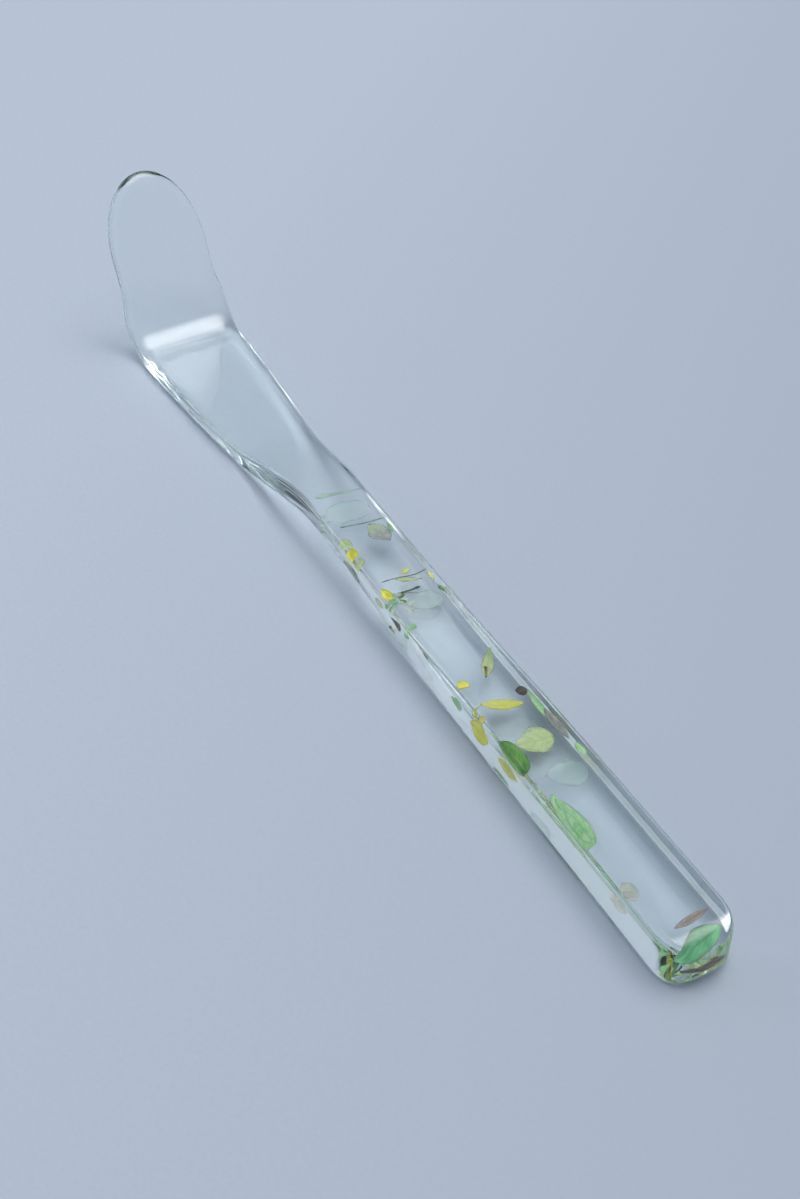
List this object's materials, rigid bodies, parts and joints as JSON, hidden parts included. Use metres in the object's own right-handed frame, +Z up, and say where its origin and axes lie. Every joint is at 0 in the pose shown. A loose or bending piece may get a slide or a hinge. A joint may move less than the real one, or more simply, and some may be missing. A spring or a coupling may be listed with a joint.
{
  "type": "cast resin spatula scoop",
  "caption": "Clear cast spatula scoop with pressed plant pieces sealed in its bar handle, a raised neck and a thin upturned blade with a round tip.",
  "frame": {"origin": "middle of the footprint, on the surface that the piece lies on", "axes": "+X along the handle from the butt towards the blade, +Z up as it lies, +Y across"},
  "size_m": [0.1414, 0.0158, 0.0239],
  "materials": {
    "clear_resin": "clear cast resin, polished, with a faint teal tint",
    "leaf": "dried green leaf, thin and veined",
    "pale_leaf": "bleached translucent leaf or petal",
    "yellow_petal": "dried yellow petal with a satin face",
    "olive_petal": "dried petal turning from green to brown",
    "stem": "thin dry stem",
    "bark": "dry brown plant piece"
  },
  "bodies": {
    "root": {"clear_body": "clear_resin", "grass_blade": "leaf", "pale_petal": "pale_leaf", "green_stem": "stem", "round_petal": "olive_petal", "side_petals": "yellow_petal", "long_stem": "stem", "stem_petal": "yellow_petal", "oval_petal": "yellow_petal", "flower_stalk": "stem", "brown_stem": "stem", "misty_leaf": "pale_leaf", "edge_petal": "yellow_petal", "hanging_petal": "yellow_petal", "calyx": "leaf", "wedge_petal": "bark", "flower_bud": "leaf", "pollen_grains": "yellow_petal", "edge_flecks": "yellow_petal", "tailed_leaf": "olive_petal", "orange_petal": "yellow_petal", "green_chip": "leaf", "dark_seed": "bark", "slanted_petal": "yellow_petal", "upright_petal": "yellow_petal", "edge_leaf": "leaf", "bark_strip": "bark", "broad_leaf": "olive_petal", "dark_leaf": "leaf", "yellow_strip": "yellow_petal", "small_chip": "leaf", "wide_pale_leaf": "pale_leaf", "half_moon_leaf": "leaf", "faint_petal": "olive_petal", "butt_leaf": "leaf", "butt_petals": "bark"}
  },
  "joints": []
}
